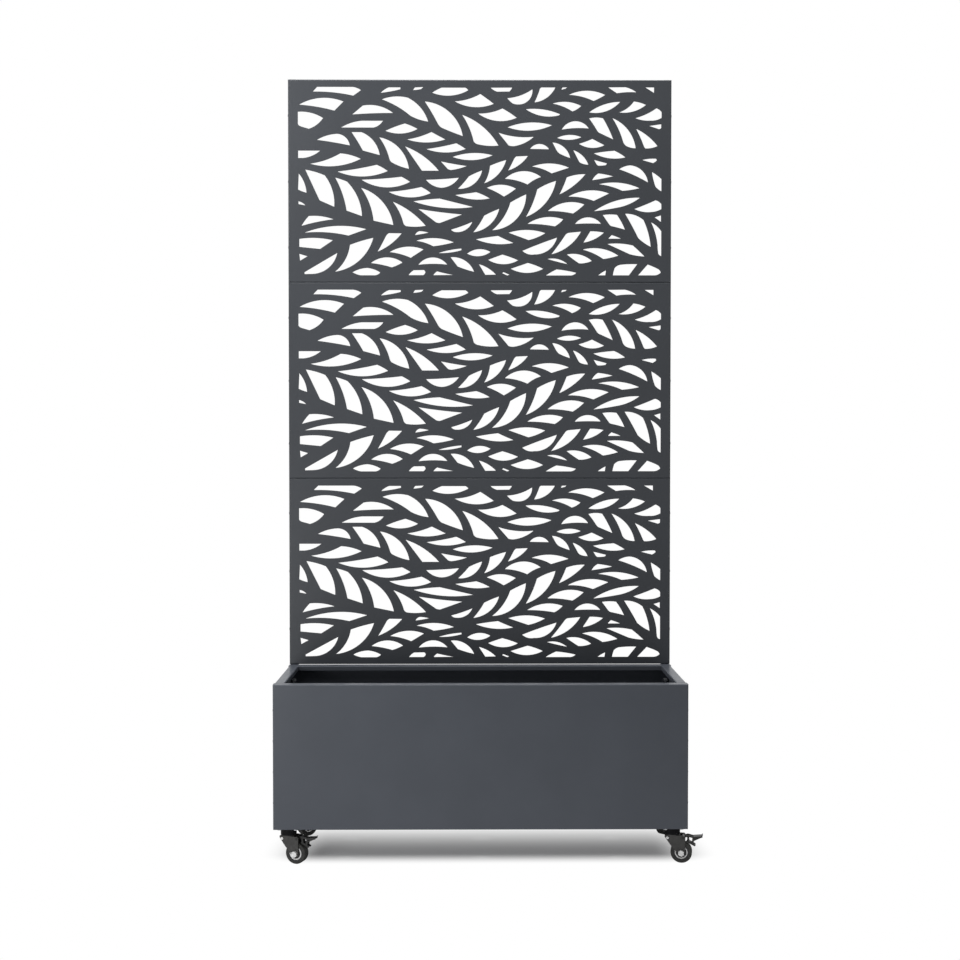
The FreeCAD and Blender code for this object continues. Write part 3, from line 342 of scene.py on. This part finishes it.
def pressed_steel(name, base, metal, specular):
    """Dark e-coated pressing: satin, with rub marks."""
    made, tree, shader = new_material(name)
    rub = object_noise(tree, size=0.010, detail=5.0)
    tint_between(tree, rub, scaled(base, 0.85), scaled(base, 1.30), shader.inputs["Base Color"])
    gloss = object_noise(tree, size=0.006, detail=3.0, shift=(0.7, 2.1, 1.2))
    rough_between(tree, gloss, 0.32, 0.48, shader.inputs["Roughness"])
    fine = object_noise(tree, size=0.0009, detail=2.0)
    bumped(tree, shader, fine, height=0.00005, strength=0.3)
    shader.inputs["Metallic"].default_value = metal
    shader.inputs["Specular IOR Level"].default_value = specular
    return made


def tread_rubber(name, base):
    """Matte tread rubber with dust in its pores."""
    made, tree, shader = new_material(name)
    dust = object_noise(tree, size=0.008, detail=6.0)
    tint_between(tree, dust, scaled(base, 0.8), scaled(base, 1.9), shader.inputs["Base Color"])
    pores = object_noise(tree, size=0.0008, detail=3.0, shift=(0.4, 0.1, 0.9))
    rough_between(tree, pores, 0.62, 0.80, shader.inputs["Roughness"])
    bumped(tree, shader, pores, height=0.00008, strength=0.5)
    return made


def moulded_plastic(name, base):
    """Moulded plastic with a spark-eroded grain."""
    made, tree, shader = new_material(name)
    cloud = object_noise(tree, size=0.012, detail=3.0)
    tint_between(tree, cloud, scaled(base, 0.9), scaled(base, 1.2), shader.inputs["Base Color"])
    grain = object_noise(tree, size=0.0007, detail=2.0)
    rough_between(tree, grain, 0.42, 0.58, shader.inputs["Roughness"])
    bumped(tree, shader, grain, height=0.00005, strength=0.4)
    return made


def finish(names, material):
    """Give CAD nodes one material."""
    for name in names:
        mesh = frame["nodes"][name].data
        mesh.materials.clear()
        mesh.materials.append(material)


# Node trees that make what repeats

def start_tree(name, lengths):
    """A geometry tree fed with points, named lengths and a material; returns it, its input and its output."""
    tree = bpy.data.node_groups.new(name, "GeometryNodeTree")
    tree.interface.new_socket("Points", in_out="INPUT", socket_type="NodeSocketGeometry")
    for label in lengths:
        tree.interface.new_socket(label, in_out="INPUT", socket_type="NodeSocketFloat")
    tree.interface.new_socket("Finish", in_out="INPUT", socket_type="NodeSocketMaterial")
    tree.interface.new_socket("Pieces", in_out="OUTPUT", socket_type="NodeSocketGeometry")
    return tree, tree.nodes.new("NodeGroupInput"), tree.nodes.new("NodeGroupOutput")


def triple(tree, x, y, z):
    """A vector from sockets or numbers."""
    made = tree.nodes.new("ShaderNodeCombineXYZ")
    fill(tree, made.inputs, (x, y, z))
    return made.outputs["Vector"]


def moved(tree, mesh, offset):
    """Shift a mesh by a vector socket."""
    made = tree.nodes.new("GeometryNodeTransform")
    tree.links.new(mesh, made.inputs["Geometry"])
    tree.links.new(offset, made.inputs["Translation"])
    return made.outputs["Geometry"]


def joined(tree, meshes):
    """Join several meshes."""
    made = tree.nodes.new("GeometryNodeJoinGeometry")
    for mesh in meshes:
        tree.links.new(mesh, made.inputs["Geometry"])
    return made.outputs["Geometry"]


def end_tree(tree, ins, outs, shape):
    """Put a shape on every point, facing the way of the point's own direction, and finish it."""
    facing = tree.nodes.new("GeometryNodeInputNamedAttribute")
    facing.data_type = "FLOAT_VECTOR"
    facing.inputs["Name"].default_value = "facing"
    turn = tree.nodes.new("FunctionNodeAlignRotationToVector")
    turn.axis = "Z"
    tree.links.new(facing.outputs["Attribute"], turn.inputs["Vector"])
    copies = tree.nodes.new("GeometryNodeInstanceOnPoints")
    tree.links.new(ins.outputs["Points"], copies.inputs["Points"])
    tree.links.new(shape, copies.inputs["Instance"])
    tree.links.new(turn.outputs["Rotation"], copies.inputs["Rotation"])
    real = tree.nodes.new("GeometryNodeRealizeInstances")
    tree.links.new(copies.outputs["Instances"], real.inputs["Geometry"])
    paint = tree.nodes.new("GeometryNodeSetMaterial")
    tree.links.new(real.outputs["Geometry"], paint.inputs["Geometry"])
    tree.links.new(ins.outputs["Finish"], paint.inputs["Material"])
    tree.links.new(paint.outputs["Geometry"], outs.inputs["Pieces"])
    return tree


def pan_screw_tree():
    """A domed pan head with a cross recess, and its shank behind the seat."""
    tree, ins, outs = start_tree("Pan screws", ("Head Radius", "Head Height", "Shank Radius", "Shank Length",
                                                "Recess Span", "Recess Width", "Recess Depth"))
    radius = ins.outputs["Head Radius"]
    height = ins.outputs["Head Height"]

    def lifted(mesh, level):
        """Lift a mesh by a share of the head's height."""
        return moved(tree, mesh, triple(tree, 0.0, 0.0, calc(tree, "MULTIPLY", height, level)))

    shells = []
    for (wide, low), (narrow, high) in zip(HEAD_OUTLINE, HEAD_OUTLINE[1:]):
        band = tree.nodes.new("GeometryNodeMeshCone")
        band.fill_type = "NONE"
        band.inputs["Vertices"].default_value = HEAD_SEGMENTS
        tree.links.new(calc(tree, "MULTIPLY", radius, wide), band.inputs["Radius Bottom"])
        tree.links.new(calc(tree, "MULTIPLY", radius, narrow), band.inputs["Radius Top"])
        tree.links.new(calc(tree, "MULTIPLY", height, high - low), band.inputs["Depth"])
        shells.append(lifted(band.outputs["Mesh"], low))
    for wide, level in (HEAD_OUTLINE[0], HEAD_OUTLINE[-1]):
        disc = tree.nodes.new("GeometryNodeMeshCircle")
        disc.fill_type = "NGON"
        disc.inputs["Vertices"].default_value = HEAD_SEGMENTS
        tree.links.new(calc(tree, "MULTIPLY", radius, wide), disc.inputs["Radius"])
        face = lifted(disc.outputs["Mesh"], level)
        if level == 0.0:
            flip = tree.nodes.new("GeometryNodeFlipFaces")
            tree.links.new(face, flip.inputs["Mesh"])
            face = flip.outputs["Mesh"]
        shells.append(face)
    weld = tree.nodes.new("GeometryNodeMergeByDistance")
    weld.inputs["Distance"].default_value = WELD_DISTANCE
    tree.links.new(joined(tree, shells), weld.inputs["Geometry"])
    cut = tree.nodes.new("GeometryNodeMeshBoolean")
    cut.operation = "DIFFERENCE"
    tree.links.new(weld.outputs["Geometry"], cut.inputs["Mesh 1"])
    tall = calc(tree, "MULTIPLY", ins.outputs["Recess Depth"], 2.0)
    for along, across in (("Recess Span", "Recess Width"), ("Recess Width", "Recess Span")):
        arm = tree.nodes.new("GeometryNodeMeshCube")
        tree.links.new(triple(tree, ins.outputs[along], ins.outputs[across], tall), arm.inputs["Size"])
        tree.links.new(lifted(arm.outputs["Mesh"], 1.0), cut.inputs["Mesh 2"])
    shank = tree.nodes.new("GeometryNodeMeshCylinder")
    shank.inputs["Vertices"].default_value = SHANK_SEGMENTS
    tree.links.new(ins.outputs["Shank Radius"], shank.inputs["Radius"])
    tree.links.new(ins.outputs["Shank Length"], shank.inputs["Depth"])
    middle = calc(tree, "MULTIPLY", ins.outputs["Shank Length"], -0.5)
    back = moved(tree, shank.outputs["Mesh"], triple(tree, 0.0, 0.0, middle))
    return end_tree(tree, ins, outs, joined(tree, (cut.outputs["Mesh"], back)))


def hub_ring_tree():
    """A ring with a rounded section, sunk into a wheel's dish."""
    tree, ins, outs = start_tree("Hub rings", ("Radius", "Width", "Height"))
    path = tree.nodes.new("GeometryNodeCurvePrimitiveCircle")
    path.inputs["Resolution"].default_value = RING_SEGMENTS
    tree.links.new(ins.outputs["Radius"], path.inputs["Radius"])
    section = tree.nodes.new("GeometryNodeCurvePrimitiveQuadrilateral")
    tree.links.new(ins.outputs["Width"], section.inputs["Width"])
    tree.links.new(calc(tree, "MULTIPLY", ins.outputs["Height"], 2.0), section.inputs["Height"])
    soft = tree.nodes.new("GeometryNodeFilletCurve")
    soft.mode = "POLY"
    soft.inputs["Count"].default_value = RING_CORNER_SEGMENTS
    tree.links.new(section.outputs["Curve"], soft.inputs["Curve"])
    tree.links.new(calc(tree, "MULTIPLY", ins.outputs["Height"], RING_CORNER), soft.inputs["Radius"])
    sweep = tree.nodes.new("GeometryNodeCurveToMesh")
    tree.links.new(path.outputs["Curve"], sweep.inputs["Curve"])
    tree.links.new(soft.outputs["Curve"], sweep.inputs["Profile Curve"])
    return end_tree(tree, ins, outs, sweep.outputs["Mesh"])


def grown(name, tree, spots, sizes, material):
    """Run a tree on points that each have a direction, and keep the result as a plain mesh object."""
    mesh = bpy.data.meshes.new(name + "_points")
    mesh.from_pydata([tuple(spot) for spot, way in spots], [], [])
    facing = mesh.attributes.new("facing", "FLOAT_VECTOR", "POINT")
    for item, (spot, way) in zip(facing.data, spots):
        item.vector = way
    seed = bpy.data.objects.new(name + "_seed", mesh)
    bpy.context.scene.collection.objects.link(seed)
    modifier = seed.modifiers.new("Pieces", "NODES")
    modifier.node_group = tree
    values = dict(sizes, Finish=material)
    for item in tree.interface.items_tree:
        if item.in_out == "INPUT" and item.name in values:
            modifier[item.identifier] = values[item.name]
    bpy.context.view_layer.update()
    ready = seed.evaluated_get(bpy.context.evaluated_depsgraph_get())
    result = bpy.data.meshes.new_from_object(ready)
    seed.modifiers.remove(modifier)
    bpy.data.objects.remove(seed)
    if not result.polygons:
        raise RuntimeError(name + " has no faces")
    result.name = name
    piece = bpy.data.objects.new(name, result)
    bpy.context.scene.collection.objects.link(piece)
    return piece


def evenly(number, first, last):
    """Evenly spaced places from first to last."""
    return [first + (last - first) * step / (number - 1) for step in range(number)]


# Operators

class SCREEN_OT_sheet_metal(Operator):
    """Coat the leaf panels, the uprights and the planter"""

    bl_idname = "screen.sheet_metal"
    bl_label = "Coat sheet metal"

    def execute(self, context):
        look = context.scene.screen_finish
        # One grey paint in two copies: the panels get the darker copy with painted shade, and the planter
        # gets the lighter copy with painted light
        for nodes, name, base in ((SCREEN_NODES, "Shaded panel coat", look.shaded_panel_coat),
                                  (PLANTER_NODES, "Lit planter coat", look.lit_planter_coat)):
            finish(nodes, powder_coat(name, base, look.coat_roughness, look.coat_grain))
        return {"FINISHED"}


class SCREEN_OT_tube_plugs(Operator):
    """Finish the plastic plugs in the uprights"""

    bl_idname = "screen.tube_plugs"
    bl_label = "Finish tube plugs"

    def execute(self, context):
        finish(("upright_caps",), moulded_plastic("Tube plug plastic", context.scene.screen_finish.plug))
        return {"FINISHED"}


class SCREEN_OT_bolts(Operator):
    """Plate the bolts and nuts"""

    bl_idname = "screen.bolts"
    bl_label = "Plate bolts and nuts"

    def execute(self, context):
        finish(ZINC_NODES, zinc_plate("Zinc fasteners", context.scene.screen_finish.zinc, metal=0.9))
        return {"FINISHED"}


class SCREEN_OT_pan_screws(Operator):
    """Make the painted pan screws at the panel sides and the planter's corners"""

    bl_idname = "screen.pan_screws"
    bl_label = "Make pan screws"

    def execute(self, context):
        look = context.scene.screen_finish
        ware = context.scene.screen_hardware
        paint = powder_coat("Screw paint", look.screw, look.coat_roughness, look.coat_grain)
        tree = pan_screw_tree()
        sizes = {"Head Radius": ware.head_radius, "Head Height": ware.head_height,
                 "Shank Radius": ware.shank_radius, "Recess Span": ware.recess_span,
                 "Recess Width": ware.recess_width, "Recess Depth": ware.recess_depth}
        sides = [Vector((-1.0, 0.0, 0.0)), Vector((1.0, 0.0, 0.0))]
        side_spots = []
        low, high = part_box("side_screws")
        row_y = (low[1] + high[1]) / 2
        for panel in PANELS:
            bottom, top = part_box(panel)
            end = ware.side_screw_end
            levels = evenly(ware.side_screw_count, bottom[2] + end, top[2] - end)
            for edge, way in zip((bottom[0], top[0]), sides):
                side_spots += [(Vector((edge, row_y, z)), way) for z in levels]
        side_sizes = dict(sizes, **{"Shank Length": ware.side_shank})
        heads = grown("panel_side_screws", tree, side_spots, side_sizes, paint)
        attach(heads, "frame")
        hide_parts("side_screws")
        corner_spots = []
        low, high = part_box("corner_screws")
        bottom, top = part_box("planter_front_wall")
        end = ware.corner_screw_end
        levels = evenly(ware.corner_screw_count, bottom[2] + end, top[2] - end)
        for edge, way in zip((bottom[0], top[0]), sides):
            for y in (low[1] + ware.head_radius, high[1] - ware.head_radius):
                corner_spots += [(Vector((edge, y, z)), way) for z in levels]
        corner_sizes = dict(sizes, **{"Shank Length": ware.corner_shank})
        heads = grown("planter_corner_screws", tree, corner_spots, corner_sizes, paint)
        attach(heads, "frame")
        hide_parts("corner_screws")
        return {"FINISHED"}


class SCREEN_OT_casters(Operator):
    """Finish the casters and make the pale rings on their wheels"""

    bl_idname = "screen.casters"
    bl_label = "Finish casters"

    def execute(self, context):
        look = context.scene.screen_finish
        ware = context.scene.screen_hardware
        heads = pressed_steel("Head steel", look.head_steel, metal=0.0, specular=0.06)
        forks = pressed_steel("Fork steel", look.fork_steel, metal=0.25, specular=0.5)
        pedal = pressed_steel("Pedal steel", look.pedal_steel, metal=0.25, specular=0.5)
        plated = zinc_plate("Caster zinc", look.caster_zinc, metal=0.2)
        rubber = tread_rubber("Tread rubber", look.tyre)
        core = moulded_plastic("Wheel plastic", look.wheel_core)
        # Near-white, mostly non-metal: the ring's colour is a painted highlight for the glint on each hub
        pale = zinc_plate("Hub ring with painted highlight", look.hub_ring_highlight, metal=0.1)
        axles = {joint["name"]: joint for joint in frame["joints"]}
        tree = hub_ring_tree()
        sizes = {"Radius": ware.ring_radius, "Width": ware.ring_width, "Height": ware.ring_height}
        for name in CASTERS:
            finish((name + "_caster_plate",), heads)
            finish((name + "_fork",), forks)
            finish((name + "_brake_pedal", name + "_brake_pin"), pedal)
            finish((name + "_kingpin", name + "_axle", name + "_tie_rivet"), plated)
            finish((name + "_tyre",), rubber)
            finish((name + "_wheel_core",), core)
            spin = axles[name + "_wheel_spin"]
            along = Vector(spin["axis"])
            middle = Vector(spin["pos_m"])
            spots = [(middle + along * (side * ware.dish_reach), along * side) for side in (-1, 1)]
            rings = grown(name + "_hub_rings", tree, spots, sizes, pale)
            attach(rings, name + "_wheel")
        return {"FINISHED"}


class SCREEN_OT_stage(Operator):
    """Set the floor, the lamps, the room light and the camera"""

    bl_idname = "screen.stage"
    bl_label = "Set the stage"

    def execute(self, context):
        scene = context.scene
        setting = scene.screen_stage
        scene.view_settings.view_transform = "Standard"
        self.lay_floor(scene, setting)
        self.light_room(scene, setting)
        self.hang_lamp(scene, "Key lamp", setting.key_spot, setting.key_size, setting.key_power)
        self.hang_lamp(scene, "Low lamp", setting.low_spot, setting.low_size, setting.low_power)
        self.hang_lamp(scene, "Top lamp", setting.top_spot, setting.top_size, setting.top_power)
        camera = bpy.data.cameras.new("Photo camera")
        camera.lens = setting.lens
        camera.sensor_fit = "HORIZONTAL"
        camera.clip_end = VIEW_END
        holder = bpy.data.objects.new("Photo camera", camera)
        holder.location = setting.eye
        holder.rotation_euler = (math.radians(90.0) - setting.pitch, 0.0, setting.yaw)
        scene.collection.objects.link(holder)
        scene.camera = holder
        return {"FINISHED"}

    def lay_floor(self, scene, setting):
        """A pale floor under the object."""
        half = setting.floor_span / 2
        corners = [(-half, -half, 0.0), (half, -half, 0.0), (half, half, 0.0), (-half, half, 0.0)]
        mesh = bpy.data.meshes.new("Floor")
        mesh.from_pydata(corners, [], [(0, 1, 2, 3)])
        mesh.materials.append(self.floor_material(setting))
        floor = bpy.data.objects.new("Floor", mesh)
        scene.collection.objects.link(floor)

    def floor_material(self, setting):
        """Matte and pale. A glow that only the camera sees paints light into its shadows, and a camera-only
        white is painted over them away from the object.
        """
        material = bpy.data.materials.new("Pale floor")
        material.use_nodes = True
        tree = material.node_tree
        tree.nodes.clear()
        matte = tree.nodes.new("ShaderNodeBsdfDiffuse")
        matte.inputs["Color"].default_value = tuple(setting.floor) + (1.0,)
        # Painted light: an emission for camera rays only, lifting the shadows on the floor
        painted_lift_glow = node(tree, "ShaderNodeEmission", Strength=setting.painted_shadow_lift)
        white = node(tree, "ShaderNodeEmission", Strength=1.0)
        camera = tree.nodes.new("ShaderNodeLightPath").outputs["Is Camera Ray"]
        lifted = tree.nodes.new("ShaderNodeAddShader")
        tree.links.new(matte.outputs["BSDF"], lifted.inputs[0])
        tree.links.new(painted_lift_glow.outputs["Emission"], lifted.inputs[1])
        near = mixed(tree, camera, matte.outputs["BSDF"], lifted.outputs["Shader"])
        # Painted light: camera-only white painted over the shadow by the fade
        painted_white_share = calc(tree, "MULTIPLY", self.painted_shadow_fade(tree, setting), camera)
        out = tree.nodes.new("ShaderNodeOutputMaterial")
        tree.links.new(mixed(tree, painted_white_share, near, white.outputs["Emission"]), out.inputs["Surface"])
        return material

    def painted_shadow_fade(self, tree, setting):
        """How far a floor spot lies outside the shade under the object, 0 inside it and 1 where all is white;
        this white is painted over the real shadow for the camera, so it sets the painted shadow's shape.
        """
        spot = tree.nodes.new("ShaderNodeTexCoord").outputs["Object"]
        reach = (cad_box[1][0] - cad_box[0][0]) / 2 - setting.shade_inset
        plus = ((reach, setting.shade_rear_y, 1.0), (setting.shade_side, setting.shade_rear, 1.0))
        minus = ((-reach, setting.shade_front_y, -1.0), (-setting.shade_side, -setting.shade_front, -1.0))
        beyond = [vector_calc(tree, "DIVIDE", vector_calc(tree, "SUBTRACT", spot, start), spread)
                  for start, spread in (plus, minus)]
        outside = vector_calc(tree, "MAXIMUM", vector_calc(tree, "MAXIMUM", *beyond), (0.0, 0.0, 0.0))
        away = tree.nodes.new("ShaderNodeVectorMath")
        away.operation = "LENGTH"
        tree.links.new(outside, away.inputs[0])
        fade = tree.nodes.new("ShaderNodeMapRange")
        fade.interpolation_type = "SMOOTHSTEP"
        tree.links.new(away.outputs["Value"], fade.inputs["Value"])
        return fade.outputs["Result"]

    def light_room(self, scene, setting):
        """Even light from all round; the camera and mirror-like rays see plain white."""
        world = bpy.data.worlds.new("Studio")
        scene.world = world
        world.use_nodes = True
        tree = world.node_tree
        tree.nodes.clear()
        even = node(tree, "ShaderNodeBackground", Color=WHITE, Strength=setting.room)
        white = node(tree, "ShaderNodeBackground", Color=WHITE, Strength=1.0)
        path = tree.nodes.new("ShaderNodeLightPath")
        seen = path.outputs["Is Camera Ray"]
        for ray in ("Is Glossy Ray", "Is Transmission Ray"):
            seen = calc(tree, "MAXIMUM", seen, path.outputs[ray])
        out = tree.nodes.new("ShaderNodeOutputWorld")
        both = mixed(tree, seen, even.outputs["Background"], white.outputs["Background"])
        tree.links.new(both, out.inputs["Surface"])

    def hang_lamp(self, scene, name, spot, size, watts):
        """A square soft lamp that faces the middle of the object."""
        data = bpy.data.lights.new(name, "AREA")
        data.shape = "SQUARE"
        data.size = size
        data.energy = watts
        lamp = bpy.data.objects.new(name, data)
        lamp.location = spot
        aim = (Vector(cad_box[0]) + Vector(cad_box[1])) / 2 - Vector(spot)
        lamp.rotation_euler = aim.to_track_quat("-Z", "Y").to_euler()
        scene.collection.objects.link(lamp)


OPERATORS = (SCREEN_OT_sheet_metal, SCREEN_OT_tube_plugs, SCREEN_OT_bolts, SCREEN_OT_pan_screws,
             SCREEN_OT_casters, SCREEN_OT_stage)


class SCREEN_PT_sidebar(Panel):
    """Settings and steps of the privacy screen"""

    bl_idname = "SCREEN_PT_sidebar"
    bl_label = "Leaf Privacy Screen"
    bl_space_type = "VIEW_3D"
    bl_region_type = "UI"
    bl_category = "Screen"

    def draw(self, context):
        for operator in OPERATORS:
            self.layout.operator(operator.bl_idname)
        for group in (context.scene.screen_finish, context.scene.screen_hardware, context.scene.screen_stage):
            box = self.layout.box()
            for name in group.__annotations__:
                box.prop(group, name)


SETTINGS = (ScreenFinishSettings, ScreenHardwareSettings, ScreenStageSettings)
CLASSES = SETTINGS + OPERATORS + (SCREEN_PT_sidebar,)


def register():
    for item in CLASSES:
        bpy.utils.register_class(item)
    bpy.types.Scene.screen_finish = PointerProperty(type=ScreenFinishSettings)
    bpy.types.Scene.screen_hardware = PointerProperty(type=ScreenHardwareSettings)
    bpy.types.Scene.screen_stage = PointerProperty(type=ScreenStageSettings)


def unregister():
    del bpy.types.Scene.screen_stage
    del bpy.types.Scene.screen_hardware
    del bpy.types.Scene.screen_finish
    for item in reversed(CLASSES):
        bpy.utils.unregister_class(item)


def main():
    """Register the add-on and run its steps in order."""
    register()
    bpy.ops.screen.sheet_metal()
    bpy.ops.screen.tube_plugs()
    bpy.ops.screen.bolts()
    bpy.ops.screen.pan_screws()
    bpy.ops.screen.casters()
    bpy.ops.screen.stage()


if __name__ == "__main__":
    main()
